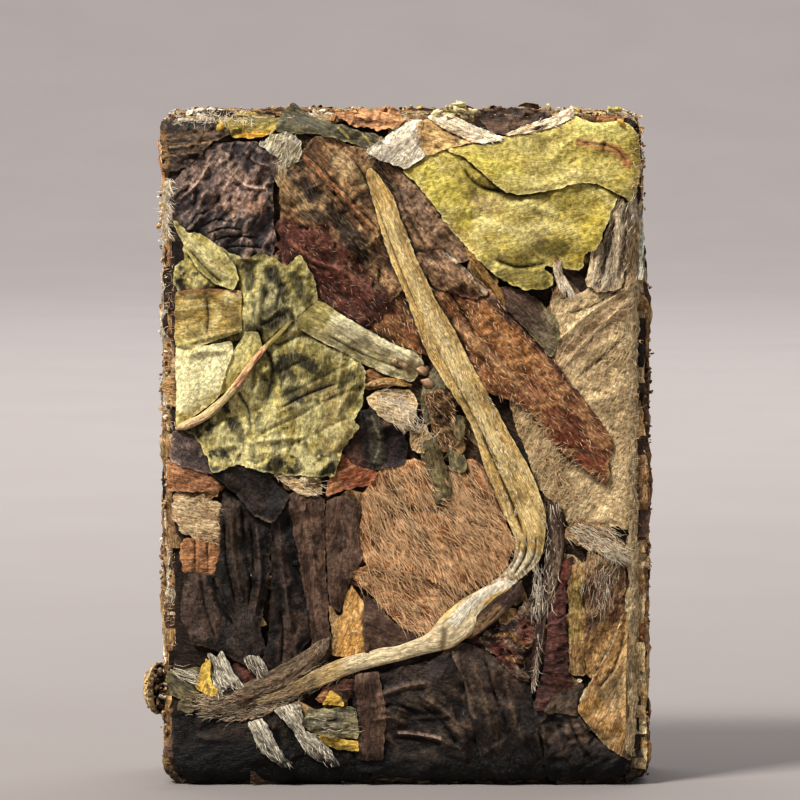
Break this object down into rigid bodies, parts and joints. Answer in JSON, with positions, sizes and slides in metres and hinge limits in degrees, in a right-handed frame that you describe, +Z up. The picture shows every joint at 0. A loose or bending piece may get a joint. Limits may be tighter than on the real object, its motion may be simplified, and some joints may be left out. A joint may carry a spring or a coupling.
{
  "type": "mini white tea brick",
  "caption": "Small upright block of pressed white tea, with whole leaves, downy buds and stalks pressed flat into its faces and crumbly layered sides.",
  "frame": {"origin": "middle of the brick's box, at the foot it stands on", "axes": "+Z up along the brick's long side, -Y out of the face with the green and the yellow leaf, +X to the right of that face"},
  "size_m": [0.025, 0.0096, 0.0333],
  "materials": {
    "pressed_leaf": "dry pressed leaf, matt, mottled brown, green, yellow and black, with fine pale down"
  },
  "bodies": {
    "root": {"tea_brick": "pressed_leaf"}
  },
  "joints": []
}
